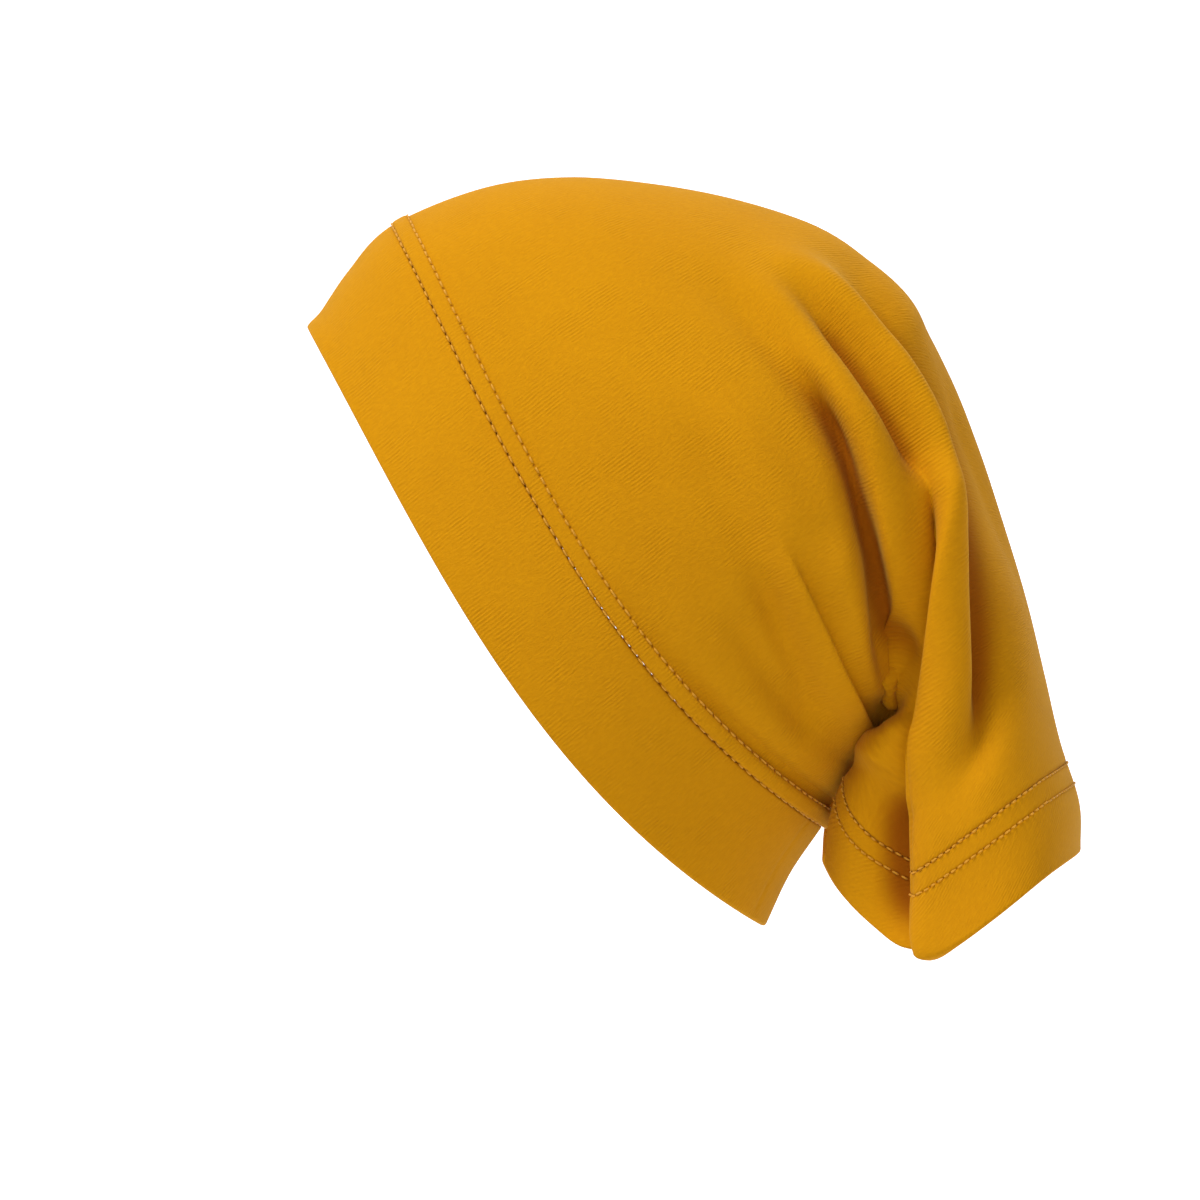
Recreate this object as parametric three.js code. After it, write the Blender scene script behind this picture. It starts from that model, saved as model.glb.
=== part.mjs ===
// Hijab underscarf cap: a bent tube of jersey with a turned band round the face
// and an open, hemmed tail behind. Millimetres, +Z up, the face towards -X and
// the wearer's left side towards -Y. The origin is the seat on top of the head.
import * as THREE from 'three';

// Driving sizes
const CAP_LENGTH = 248.3;
const CAP_HEIGHT = 249.3;
const CAP_WIDTH = 156;
const BAND_DEPTH_BROW = 42;
const BAND_DEPTH_NAPE = 36;
const HEM_DEPTH = 28;
const SEAM_WIDTH = 5.6;
const SEAM_RISE = 0.7;
const LIP_RISE = 1.2;
const LIP_REACH = 4;
const SINGLE_WALL = 1.2;
const DOUBLE_WALL = 2.2;
const JOIN_GAP = 0.3;
const SEAT_PLACE = 33.5;

// How finely the faceted cloth is cut
const COLUMNS = 64;
const SIDE_CROWDING = 0.12;
const BAND_ROWS = 6;
const CROWN_ROWS = 33;
const SEAM_FOOT = 1.4;
const SEAM_CLEAR = 2;
const HEM_ROWS = 4;
const LENGTH_STEPS = 160;
const PATH_STEPS = 48;

// Sections of the outer surface, from the face edge to the tail's hem.
// Places are hundredths of CAP_LENGTH from the brow edge and hundredths of CAP_HEIGHT
// from the low corner of the hem; half widths are hundredths of CAP_WIDTH.
// top: point on the ridge over head and back. under: point on the nape side.
// bow: how far the side of the section leaves the straight line between the two.
// point: 0 for a round bow, 1 for a hem that comes to a point.
// tuck: how far the front wall of the tail comes forward beside the nape.
// taper: how much narrower the nape side of the section is than its back side.
const SECTION_COLUMNS = [
  'topX', 'topZ', 'underX', 'underZ', 'bowX', 'bowZ', 'point', 'tuck', 'halfWidth', 'taper',
];
const SECTIONS = [
  [0.1, 80.7, 58.8, 4.2, -5.3, -4.0, 0.0, 0.0, 45, 0.00],
  [4.8, 87.8, 61.9, 10.7, -4.0, -3.0, 0.0, 0.0, 47, 0.00],
  [10.4, 93.7, 65.9, 16.6, -2.8, -2.1, 0.0, 0.0, 48, 0.00],
  [21.9, 98.5, 69.1, 22.0, -2.1, -1.3, 0.0, 0.0, 49, 0.00],
  [32.9, 100.0, 70.4, 24.9, -1.0, -0.5, 0.0, 0.0, 50, 0.00],
  [44.5, 99.1, 71.4, 26.7, 0.0, 0.0, 0.0, 0.0, 50, 0.00],
  [55.4, 97.0, 72.2, 28.0, 0.0, 0.0, 0.0, 0.0, 49, 0.00],
  [65.1, 93.7, 72.9, 28.8, 0.0, 0.0, 0.0, 0.0, 48, 0.02],
  [71.6, 89.3, 73.6, 29.3, 0.0, 0.0, 0.0, 0.0, 46, 0.06],
  [77.7, 83.1, 74.1, 29.4, 0.0, -0.5, 0.0, 0.0, 44, 0.12],
  [82.6, 74.2, 74.6, 29.1, 0.0, -1.3, 0.0, -1.2, 42, 0.24],
  [86.3, 65.0, 75.0, 28.6, -0.6, -2.6, 0.1, -1.5, 41, 0.28],
  [89.4, 55.7, 75.1, 27.7, -1.8, -4.6, 0.2, -3.2, 40, 0.34],
  [92.4, 46.2, 75.0, 26.4, -4.0, -6.9, 0.4, -5.0, 39, 0.40],
  [94.8, 37.0, 74.5, 24.6, -5.7, -9.8, 0.6, -6.8, 38, 0.44],
  [97.0, 28.5, 73.5, 22.1, -6.6, -12.6, 0.8, -7.6, 38, 0.47],
  [99.5, 20.9, 72.2, 19.0, -6.2, -14.9, 0.9, -7.8, 38, 0.49],
  [99.6, 15.1, 70.6, 15.4, -4.4, -16.4, 1.0, -7.2, 39, 0.50],
];
const BOW_SKEW = 0.45;
const POINT_PLACE = -0.2;
const POINT_SOFTNESS = 0.26;
const WALL_REACH = 0.85;
const FOOT_SOFTNESS = 0.3;
const TUCK_PEAK = 0.68;

// Folds, drawn on the side of the cap in the same hundredths as the sections.
// kind: pleat (one side stands over the other) or ridge (a valley where lift is negative).
// high: 1 where the side below and left of the path stands proud, -1 where the other does.
// reach and lift are hundredths of CAP_LENGTH, and pull is a share of the reach.
// fadeIn, fadeOut: shares of the path. far: how strong its twin on the far side is.
const FOLD_COLUMNS = ['kind', 'high', 'reach', 'lift', 'pull', 'fadeIn', 'fadeOut', 'far', 'path'];
const FOLDS = [
  // Main pleat of the crown
  ['pleat', -1, 2.4, 1.5, 0.4, 0.3, 0.25, 0.8,
    [[59.3, 78.4], [67.8, 71.6], [71.0, 63.9], [73.5, 53.7], [75.5, 39.3], [73.5, 28.0]]],
  // Front edge of the tail's side panel
  ['pleat', -1, 2.6, 1.1, 0.1, 0.15, 0.1, 0.9,
    [[79.0, 66.0], [80.1, 56.5], [79.0, 43.1], [77.1, 29.0], [75.9, 15.0], [77.6, 0.5]]],
  // Long valley down the back
  ['ridge', 1, 2.4, -3.0, 0, 0.3, 0.25, 0.9,
    [[61.9, 92.4], [72.2, 85.0], [80.2, 72.4], [85.1, 58.5], [87.6, 40.6], [84.5, 26.4], [81.4, 16.2]]],
  // Rounded fold in front of that valley
  ['ridge', 1, 2.2, 1.6, 0, 0.25, 0.3, 1.1,
    [[55.4, 91.7], [68.3, 84.2], [77.6, 72.9], [83.1, 57.9]]],
  // Valley between the rounded fold and the main pleat
  ['ridge', 1, 2.2, -2.2, 0, 0.35, 0.15, 1.0,
    [[59.3, 89.1], [69.6, 78.4], [75.1, 69.4], [80.2, 61.7]]],
  // Flap and bulge of the crown just above the nape
  ['pleat', 1, 2.2, 0.8, 0.2, 0.3, 0.4, 1.1,
    [[59.0, 56.0], [64.9, 43.1], [69.8, 33.0], [72.8, 27.7]]],
  ['ridge', 1, 2.6, 1.0, 0, 0.3, 0.2, 0.9,
    [[67.7, 56.0], [71.1, 39.3], [71.9, 29.7]]],
];

const HUNDRED = 100;
const SIDE_START = 0.02;
const SIDE_SOFTNESS = 0.2;
const PLEAT_DECAY = 3;
const FOLD_BOUND = 6;
const SLOPE_STEP = 0.004;

const rowObject = (names) => (row) => Object.fromEntries(names.map((name, i) => [name, row[i]]));
const clamp01 = (x) => Math.min(1, Math.max(0, x));
const ease = (x) => clamp01(x) ** 2 * (3 - 2 * clamp01(x));
const mix = (a, b, f) => a + (b - a) * f;

// Catmull-Rom curve through the rows of a table, at f from 0 to 1
function through(rows, f) {
  const last = rows.length - 1;
  const place = clamp01(f) * last;
  const i = Math.min(Math.floor(place), last - 1);
  const t = place - i;
  return rows[i].map((_, k) => {
    const p1 = rows[i][k];
    const p2 = rows[i + 1][k];
    const p0 = i > 0 ? rows[i - 1][k] : 2 * p1 - p2;
    const p3 = i + 2 <= last ? rows[i + 2][k] : 2 * p2 - p1;
    const square = 2 * p0 - 5 * p1 + 4 * p2 - p3;
    const cube = 3 * p1 - p0 - 3 * p2 + p3;
    return 0.5 * (2 * p1 + (p2 - p0) * t + square * t * t + cube * t ** 3);
  });
}

function softMin(a, b, softness) {
  const h = clamp01(0.5 + (0.5 * (b - a)) / softness);
  return mix(b, a, h) - softness * h * (1 - h);
}

// Outer surface before its folds: angle round the tube (0 on the ridge, half a turn
// under the nape, the wearer's left first) and f along it
function plainPoint(angle, f) {
  const s = rowObject(SECTION_COLUMNS)(through(SECTIONS, f));
  const c = Math.cos(angle);
  const inward = clamp01((POINT_PLACE - c) / (1 + POINT_PLACE));
  const round = (1 - c * c) * (1 - BOW_SKEW * c);
  const tent = softMin(
    (1 - c) / (1 - POINT_PLACE),
    1 + (c - POINT_PLACE) / (1 + POINT_PLACE) / WALL_REACH,
    POINT_SOFTNESS,
  );
  const bow = mix(round, -softMin(-tent, 0, FOOT_SOFTNESS), s.point);
  const tuck = inward < TUCK_PEAK
    ? Math.sin((Math.PI / 2) * (inward / TUCK_PEAK))
    : Math.cos((Math.PI / 2) * ((inward - TUCK_PEAK) / (1 - TUCK_PEAK))) ** 2;
  const x = (s.topX + s.underX) / 2 + ((s.topX - s.underX) / 2) * c + s.bowX * bow + s.tuck * tuck;
  const z = (s.topZ + s.underZ) / 2 + ((s.topZ - s.underZ) / 2) * c + s.bowZ * bow;
  const y = -s.halfWidth * Math.sin(angle) * (1 + s.taper * c);
  return new THREE.Vector3(
    ((x - SEAT_PLACE) * CAP_LENGTH) / HUNDRED,
    (y * CAP_WIDTH) / HUNDRED,
    (z / HUNDRED - 1) * CAP_HEIGHT + SINGLE_WALL,
  );
}

// Outward normal of a surface given as point(angle, f)
function normalOf(point, angle, f) {
  const before = Math.max(0, f - SLOPE_STEP);
  const after = Math.min(1, f + SLOPE_STEP);
  const turn = SLOPE_STEP * Math.PI * 2;
  const round = point(angle + turn, f).sub(point(angle - turn, f));
  const along = point(angle, after).sub(point(angle, before));
  return round.cross(along).normalize();
}

// A fold's path on the side of the cap, as millimetre points with their directions
function foldPath(row) {
  const points = [];
  for (let i = 0; i <= PATH_STEPS; i += 1) {
    const [px, pz] = through(row.path, i / PATH_STEPS);
    const x = ((px - SEAT_PLACE) * CAP_LENGTH) / HUNDRED;
    const z = (pz / HUNDRED - 1) * CAP_HEIGHT + SINGLE_WALL;
    points.push(new THREE.Vector2(x, z));
  }
  return points;
}

const foldRows = FOLDS.map(rowObject(FOLD_COLUMNS)).map((row) => {
  const points = foldPath(row);
  const reach = (row.reach * CAP_LENGTH) / HUNDRED;
  const box = new THREE.Box2().setFromPoints(points).expandByScalar(FOLD_BOUND * reach);
  return { ...row, points, box, reach, lift: (row.lift * CAP_LENGTH) / HUNDRED };
});

// Nearest place on a path: signed distance (positive on its right), share along, sideways unit
function nearest(points, spot) {
  let best = { gap: Infinity };
  for (let i = 0; i < points.length - 1; i += 1) {
    const step = points[i + 1].clone().sub(points[i]);
    const f = clamp01(spot.clone().sub(points[i]).dot(step) / step.lengthSq());
    const foot = points[i].clone().addScaledVector(step, f);
    const gap = spot.distanceTo(foot);
    if (gap < best.gap) best = { gap, foot, step: step.normalize(), share: (i + f) / (points.length - 1) };
  }
  const right = new THREE.Vector2(best.step.y, -best.step.x);
  const away = spot.clone().sub(best.foot);
  const past = away.dot(best.step);
  return { distance: away.dot(right), past, share: best.share, right };
}

// The outer surface with its folds
function foldedPoint(angle, f) {
  const base = plainPoint(angle, f);
  const normal = normalOf(plainPoint, angle, f);
  const onLeft = Math.sin(angle) > 0;
  const sideWeight = ease((Math.abs(Math.sin(angle)) + SIDE_START) / SIDE_SOFTNESS);
  const spot = new THREE.Vector2(base.x, base.z);
  const moved = base.clone();
  for (const fold of foldRows) {
    if (!fold.box.containsPoint(spot)) continue;
    const near = nearest(fold.points, spot);
    const q = (fold.high * near.distance) / fold.reach;
    const fadeIn = ease(near.share / fold.fadeIn);
    const fadeOut = fold.fadeOut > 0 ? ease((1 - near.share) / fold.fadeOut) : 1;
    const end = Math.exp(-((near.past / fold.reach) ** 2));
    const strength = fadeIn * fadeOut * end * sideWeight * (onLeft ? 1 : fold.far);
    if (fold.kind === 'ridge') {
      moved.addScaledVector(normal, fold.lift * Math.exp((-q * q) / 2) * strength);
      continue;
    }
    const step = (q / Math.sqrt(1 + q * q)) * Math.exp(-((q / PLEAT_DECAY) ** 2));
    moved.addScaledVector(normal, fold.lift * step * strength);
    const high = new THREE.Vector3(near.right.x, 0, near.right.y).multiplyScalar(fold.high);
    high.addScaledVector(normal, -high.dot(normal));
    const pull = -q * Math.exp(0.5 - 0.5 * q * q) * fold.pull * fold.reach;
    moved.addScaledVector(high, pull * strength);
  }
  return moved;
}

// Lengths along the cloth at one angle, and the place f at a given length
function lengthTable(angle) {
  const lengths = [0];
  let previous = plainPoint(angle, 0);
  for (let i = 1; i <= LENGTH_STEPS; i += 1) {
    const point = plainPoint(angle, i / LENGTH_STEPS);
    lengths.push(lengths[i - 1] + point.distanceTo(previous));
    previous = point;
  }
  const total = lengths[LENGTH_STEPS];
  const placeAt = (length) => {
    if (length <= 0) return 0;
    const i = lengths.findIndex((value) => value >= length);
    if (i < 0) return 1;
    return (i - 1 + (length - lengths[i - 1]) / (lengths[i] - lengths[i - 1])) / LENGTH_STEPS;
  };
  return { total, placeAt };
}

const bandDepth = (angle) => mix(BAND_DEPTH_BROW, BAND_DEPTH_NAPE, (1 - Math.cos(angle)) / 2);

// A closed cloth wall round the tube. lengthsAt(angle, total) lists where its rows lie,
// riseAt(length, angle) lifts the outer face, and turned names the end with a round edge.
function clothWall({ lengthsAt, riseAt, wall, turned }) {
  const positions = [];
  let ring = 0;
  for (let i = 0; i < COLUMNS; i += 1) {
    const turn = (i / COLUMNS) * Math.PI * 2;
    const angle = turn + SIDE_CROWDING * Math.sin(2 * turn);
    const table = lengthTable(angle);
    const lengths = lengthsAt(angle, table.total);
    const outer = [];
    const inner = [];
    for (const length of lengths) {
      const f = table.placeAt(length);
      const normal = normalOf(foldedPoint, angle, f);
      const point = foldedPoint(angle, f);
      outer.push(point.clone().addScaledVector(normal, riseAt(length - lengths[0], angle)));
      inner.push(point.clone().addScaledVector(normal, -wall));
    }
    const round = (end, next) => {
      const middle = outer[end].clone().add(inner[end]).multiplyScalar(0.5);
      const outward = outer[end].clone().sub(outer[next]).normalize();
      return middle.addScaledVector(outward, wall / 2);
    };
    const last = lengths.length - 1;
    const loop = [...outer];
    if (turned === 'end') loop.push(round(last, last - 1));
    loop.push(...[...inner].reverse());
    if (turned === 'start') loop.push(round(0, 1));
    ring = loop.length;
    for (const p of loop) positions.push(p.x, p.y, p.z);
  }
  const index = [];
  for (let i = 0; i < COLUMNS; i += 1) {
    for (let j = 0; j < ring; j += 1) {
      const a = i * ring + j;
      const b = i * ring + ((j + 1) % ring);
      const c = ((i + 1) % COLUMNS) * ring + j;
      const d = ((i + 1) % COLUMNS) * ring + ((j + 1) % ring);
      index.push(a, c, b, b, c, d);
    }
  }
  const geometry = new THREE.BufferGeometry();
  geometry.setAttribute('position', new THREE.Float32BufferAttribute(positions, 3));
  geometry.setIndex(index);
  geometry.computeVertexNormals();
  return geometry;
}

const evenly = (from, to, count) => Array.from({ length: count }, (_, i) => mix(from, to, i / (count - 1)));

// The turned band: its rim is the fold, with a small rolled lip over the brow
function frontBand() {
  const lipAt = (length, angle) => {
    const overBrow = Math.max(0, Math.cos(angle)) ** 4;
    return LIP_RISE * overBrow * Math.exp(-((length / LIP_REACH) ** 2));
  };
  return clothWall({
    lengthsAt: (angle) => {
      const depth = bandDepth(angle);
      return [0, LIP_REACH, ...evenly(LIP_REACH * 2, depth, BAND_ROWS - 2)];
    },
    riseAt: lipAt,
    wall: DOUBLE_WALL,
    turned: 'start',
  });
}

// The head and tail tube, raised where its seam laps the band
function crown() {
  const seamRows = [0, SEAM_WIDTH, SEAM_WIDTH * SEAM_FOOT];
  return clothWall({
    lengthsAt: (angle, total) => {
      const start = bandDepth(angle) + JOIN_GAP;
      const end = total - HEM_DEPTH - JOIN_GAP;
      const rest = evenly(start + SEAM_WIDTH * SEAM_CLEAR, end, CROWN_ROWS - seamRows.length);
      return [...seamRows.map((row) => start + row), ...rest];
    },
    riseAt: (length) => (length <= SEAM_WIDTH ? SEAM_RISE : 0),
    wall: SINGLE_WALL,
  });
}

// The turned hem at the open end of the tail
function tailHem() {
  return clothWall({
    lengthsAt: (_, total) => evenly(total - HEM_DEPTH, total, HEM_ROWS),
    riseAt: () => 0,
    wall: DOUBLE_WALL,
    turned: 'end',
  });
}

const jersey = { roughness: 0.95, metalness: 0 };
const MATERIALS = {
  front_band: new THREE.MeshStandardMaterial({ color: 0xc8860f, ...jersey }),
  crown: new THREE.MeshStandardMaterial({ color: 0xd4900f, ...jersey }),
  tail_hem: new THREE.MeshStandardMaterial({ color: 0xcc8a10, ...jersey }),
};

const cap = new THREE.Group();
for (const [name, geometry] of Object.entries({
  front_band: frontBand(),
  crown: crown(),
  tail_hem: tailHem(),
})) {
  const mesh = new THREE.Mesh(geometry, MATERIALS[name]);
  mesh.name = name;
  cap.add(mesh);
}

export default cap;
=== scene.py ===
import math

import bpy
import numpy as np
from bpy.props import FloatProperty, FloatVectorProperty, PointerProperty
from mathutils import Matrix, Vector


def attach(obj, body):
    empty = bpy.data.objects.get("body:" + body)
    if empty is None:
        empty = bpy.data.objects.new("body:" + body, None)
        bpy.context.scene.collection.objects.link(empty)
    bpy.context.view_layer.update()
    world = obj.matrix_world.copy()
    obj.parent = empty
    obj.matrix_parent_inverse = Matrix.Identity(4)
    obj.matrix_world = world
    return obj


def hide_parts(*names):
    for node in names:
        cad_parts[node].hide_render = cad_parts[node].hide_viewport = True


bl_info = {
    "name": "Jersey Underscarf Cap",
    "version": (1, 0, 0),
    "blender": (4, 5, 0),
    "location": "View3D > Sidebar > Cap",
    "description": "Builds a jersey underscarf cap with its band, folds, hem and stitching",
    "category": "Add Mesh",
}

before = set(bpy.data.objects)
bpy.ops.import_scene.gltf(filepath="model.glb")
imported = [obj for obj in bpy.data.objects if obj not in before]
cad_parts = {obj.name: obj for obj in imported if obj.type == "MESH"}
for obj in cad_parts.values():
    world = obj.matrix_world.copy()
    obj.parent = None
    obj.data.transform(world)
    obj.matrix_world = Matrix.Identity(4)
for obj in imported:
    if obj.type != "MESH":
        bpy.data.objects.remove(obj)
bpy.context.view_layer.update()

HUNDRED = 100.0
TURN = 2.0 * math.pi

# Sections of the outer surface, from the face edge to the tail's hem.
# Places are hundredths of the cap's length from the brow edge and hundredths of its
# height from the low corner of the hem; half widths are hundredths of its width.
# Columns: top x, top z, under x, under z, bow x, bow z, point, tuck, half width, taper
SECTIONS = (
    (0.1, 80.7, 58.8, 4.2, -5.3, -4.0, 0.0, 0.0, 45, 0.00),
    (4.8, 87.8, 61.9, 10.7, -4.0, -3.0, 0.0, 0.0, 47, 0.00),
    (10.4, 93.7, 65.9, 16.6, -2.8, -2.1, 0.0, 0.0, 48, 0.00),
    (21.9, 98.5, 69.1, 22.0, -2.1, -1.3, 0.0, 0.0, 49, 0.00),
    (32.9, 100.0, 70.4, 24.9, -1.0, -0.5, 0.0, 0.0, 50, 0.00),
    (44.5, 99.1, 71.4, 26.7, 0.0, 0.0, 0.0, 0.0, 50, 0.00),
    (55.4, 97.0, 72.2, 28.0, 0.0, 0.0, 0.0, 0.0, 49, 0.00),
    (65.1, 93.7, 72.9, 28.8, 0.0, 0.0, 0.0, 0.0, 48, 0.02),
    (71.6, 89.3, 73.6, 29.3, 0.0, 0.0, 0.0, 0.0, 46, 0.06),
    (77.7, 83.1, 74.1, 29.4, 0.0, -0.5, 0.0, 0.0, 44, 0.12),
    (82.6, 74.2, 74.6, 29.1, 0.0, -1.3, 0.0, -1.2, 42, 0.24),
    (86.3, 65.0, 75.0, 28.6, -0.6, -2.6, 0.1, -1.5, 41, 0.28),
    (89.4, 55.7, 75.1, 27.7, -1.8, -4.6, 0.2, -3.2, 40, 0.34),
    (92.4, 46.2, 75.0, 26.4, -4.0, -6.9, 0.4, -5.0, 39, 0.40),
    (94.8, 37.0, 74.5, 24.6, -5.7, -9.8, 0.6, -6.8, 38, 0.44),
    (97.0, 28.5, 73.5, 22.1, -6.6, -12.6, 0.8, -7.6, 38, 0.47),
    (99.5, 20.9, 72.2, 19.0, -6.2, -14.9, 0.9, -7.8, 38, 0.49),
    (99.6, 15.1, 70.6, 15.4, -4.4, -16.4, 1.0, -7.2, 39, 0.50),
)
SEAT_PLACE = 33.5
BOW_SKEW = 0.45
POINT_PLACE = -0.2
POINT_SOFTNESS = 0.26
WALL_REACH = 0.85
FOOT_SOFTNESS = 0.3
TUCK_PEAK = 0.68

# Folds, drawn on the side of the cap in the same hundredths as the sections.
# kind: pleat (one side stands over the other) or ridge (a valley where lift is negative).
# high: 1 where the side below and left of the path stands proud, -1 where the other does.
# reach and lift are hundredths of the cap's length, and pull is a share of the reach.
# Columns: name, kind, high, reach, lift, pull, fade in, fade out, far side strength, path
FOLDS = (
    ("main pleat", "pleat", -1, 1.25, 1.8, 0.86, 0.3, 0.38, 0.8,
     ((59.3, 78.6), (63.2, 75.4), (66.4, 71.7), (68.9, 67.6), (70.7, 63.4), (72.1, 58.6), (73.3, 53.5),
      (74.6, 45.7), (75.4, 39.3), (75.8, 33.6))),
    ("panel edge", "pleat", -1, 1.15, 2.3, 0.8, 0.16, 0.05, 0.9,
     ((78.6, 66.5), (79.8, 61.5), (80.2, 56.5), (80.0, 51.9), (79.6, 47.5), (79.2, 43.1), (78.8, 39.5),
      (78.3, 36.1), (77.6, 31.5), (76.8, 27.0), (76.1, 21.3), (75.9, 15.0), (76.0, 10.0), (76.4, 6.5),
      (77.0, 3.3), (77.8, 0.5), (78.6, -2.4))),
    ("slit", "ridge", 1, 0.7, -2.2, 0.0, 0.25, 0.25, 0.8,
     ((78.2, 64.5), (79.2, 60.5), (79.6, 56.5), (79.4, 51.9), (79.0, 47.5), (78.5, 43.1), (78.1, 39.5),
      (77.6, 36.1), (76.9, 31.5), (76.0, 27.0), (75.3, 21.3))),
    ("back valley", "ridge", 1, 1.8, -5.4, 0.0, 0.3, 0.3, 0.9,
     ((61.9, 92.4), (68.3, 88.8), (72.2, 85.0), (75.3, 81.1), (78.0, 77.3), (80.6, 72.4), (82.6, 68.2),
      (84.1, 63.9), (85.6, 58.5), (86.8, 52.8), (87.8, 46.3), (88.0, 40.6), (87.6, 35.4), (86.4, 30.9),
      (84.8, 26.4), (83.0, 22.0), (81.4, 16.2))),
    ("rounded fold's edge", "pleat", 1, 1.1, 1.9, 0.7, 0.35, 0.4, 0.8,
     ((71.5, 83.0), (75.0, 79.2), (77.8, 75.4), (79.9, 71.5), (81.4, 67.5), (82.5, 63.3), (83.4, 58.5),
      (84.3, 53.4), (85.8, 41.8))),
    ("back fold", "ridge", 1, 1.0, 1.3, 0.0, 0.45, 0.3, 1.1,
     ((58.0, 96.0), (65.7, 93.1), (70.9, 89.9), (74.7, 86.0), (77.5, 82.5), (80.2, 78.2), (82.3, 74.9),
      (84.1, 71.9), (85.9, 68.1), (88.6, 60.3), (91.6, 50.0))),
    ("back groove", "pleat", 1, 0.75, 0.8, 0.6, 0.3, 0.35, 0.9,
     ((65.7, 93.8), (68.9, 92.3), (72.6, 89.7), (75.8, 86.6), (78.2, 83.3), (80.8, 78.9), (82.9, 75.2),
      (84.7, 72.0), (86.4, 68.5), (89.6, 59.8))),
    ("rounded fold", "ridge", 1, 1.6, 2.6, 0.0, 0.3, 0.3, 1.1,
     ((55.4, 91.2), (63.1, 87.6), (68.3, 83.7), (72.2, 79.9), (75.4, 76.0), (77.8, 71.9), (79.6, 67.8),
      (80.9, 63.5), (82.0, 58.5), (82.9, 53.0))),
    ("soft valley", "ridge", 1, 1.5, -4.4, 0.0, 0.4, 0.18, 1.0,
     ((59.3, 88.5), (65.4, 83.2), (69.4, 78.2), (72.4, 73.6), (75.2, 69.4), (77.2, 66.0), (78.6, 62.5),
      (79.2, 59.0))),
    ("soft fold", "ridge", 1, 1.6, 1.4, 0.0, 0.3, 0.3, 1.2,
     ((52.8, 89.1), (58.6, 84.7), (63.1, 79.7), (67.0, 75.0), (69.6, 71.4), (72.5, 66.2), (74.5, 59.0))),
    ("front valley", "ridge", 1, 1.9, -1.2, 0.0, 0.6, 0.4, 1.0,
     ((45.0, 89.5), (50.3, 86.1), (55.4, 82.3), (60.6, 77.4), (64.7, 72.5))),
    ("main valley", "ridge", 1, 1.5, -4.2, 0.0, 0.4, 0.14, 0.8,
     ((56.0, 80.8), (60.5, 76.8), (64.2, 72.6), (67.1, 68.2), (69.2, 63.6), (70.8, 58.7), (72.1, 53.5),
      (73.4, 45.7), (74.3, 39.3), (75.0, 33.5))),
    ("crown swell", "ridge", 1, 2.6, 0.8, 0.0, 0.35, 0.35, 1.0,
     ((47.0, 78.0), (54.0, 69.0), (60.0, 58.0), (65.0, 46.0), (68.5, 36.0))),
    ("crown hollow", "ridge", 1, 1.8, -0.9, 0.0, 0.35, 0.35, 1.1,
     ((44.0, 72.0), (51.0, 62.5), (56.5, 53.0), (61.0, 43.0), (64.5, 34.0))),
    ("nape flap", "pleat", 1, 1.1, 1.6, 0.75, 0.35, 0.1, 1.1,
     ((59.0, 56.0), (61.5, 51.5), (63.6, 47.2), (65.6, 43.1), (67.5, 39.0), (69.1, 35.5), (70.6, 32.3),
      (71.9, 29.8), (73.0, 27.6))),
    ("nape bulge", "ridge", 1, 2.6, 1.6, 0.0, 0.3, 0.2, 0.9,
     ((67.7, 56.0), (69.6, 47.0), (71.1, 39.3), (71.6, 32.9), (71.9, 29.7))),
    ("low valley", "ridge", 1, 1.3, -1.3, 0.0, 0.3, 0.2, 1.2,
     ((56.1, 50.8), (59.9, 42.5), (63.1, 35.4), (66.0, 29.0))),
    ("lower valley", "ridge", 1, 1.3, -0.9, 0.0, 0.3, 0.2, 0.8,
     ((52.8, 45.7), (58.0, 37.4), (62.5, 30.9), (65.1, 27.1))),
    ("panel hollow", "ridge", 1, 2.6, -3.6, 0.0, 0.3, 0.35, 0.8,
     ((75.0, 27.0), (74.4, 21.0), (74.2, 14.0), (74.6, 7.0), (75.8, 1.0))),
    ("nape gusset", "ridge", 1, 1.9, 2.0, 0.0, 0.3, 0.3, 0.8,
     ((71.0, 23.5), (72.8, 26.5), (74.6, 29.2), (76.4, 32.0))),
    ("tongue", "ridge", 1, 1.5, 1.7, 0.0, 0.5, 0.35, 0.7,
     ((71.6, 26.4), (73.3, 24.0), (74.9, 20.8), (76.2, 17.6))),
)
PATH_STEPS = 80
SIDE_START = 0.02
SIDE_SOFTNESS = 0.2
PLEAT_DECAY = 3.0
FOLD_BOUND = 6.0
CHUNK = 20000

# Steps along the cloth, and how the columns crowd at the sides
LENGTH_STEPS = 400
SIDE_CROWDING = 0.14

# How finely the cloth is cut, in columns round the tube and rows along it
BAND_COLUMNS = 560
CROWN_COLUMNS = 400
HEM_COLUMNS = 420
CROWN_ROWS = 164
FRONT_ROWS = 0.25
FRONT_SHARE = 0.45
FINE_ROW = 0.0004
COARSE_ROW = 0.0016
INNER_EVERY = 3
BAND_DENSE = 0.003
CROWN_DENSE = 0.002
HEM_DENSE = 0.0015
EDGE_STEPS = 5

# The inner face has wider rows, so it lies lower under the folds, but not at the nape
UNDER_ROWS = 14
FOLD_CLEAR = 0.004
NAPE_FROM = -0.62
NAPE_FADE = 0.12

# Relief of the band's rim and of the seams, in metres
LIP_RISE = 0.0012
LIP_REACH = 0.004
SEAM_RISE = 0.0007
LOW_SEAM_RISE = 0.0023
SEAM_DOME = 0.0002
SEAM_EDGE = 0.0006
SEAM_PRESS = 0.00035
PRESS_REACH = 0.0005
BEHIND_SINK = 0.0022
BEHIND_PLACE = 0.0022
BEHIND_REACH = 0.0024
CROWN_SWELL = 0.0012
SWELL_PLACE = 0.011
SWELL_REACH = 0.006
PUCKER = 0.00007
PUCKER_REACH = 0.0015
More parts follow.
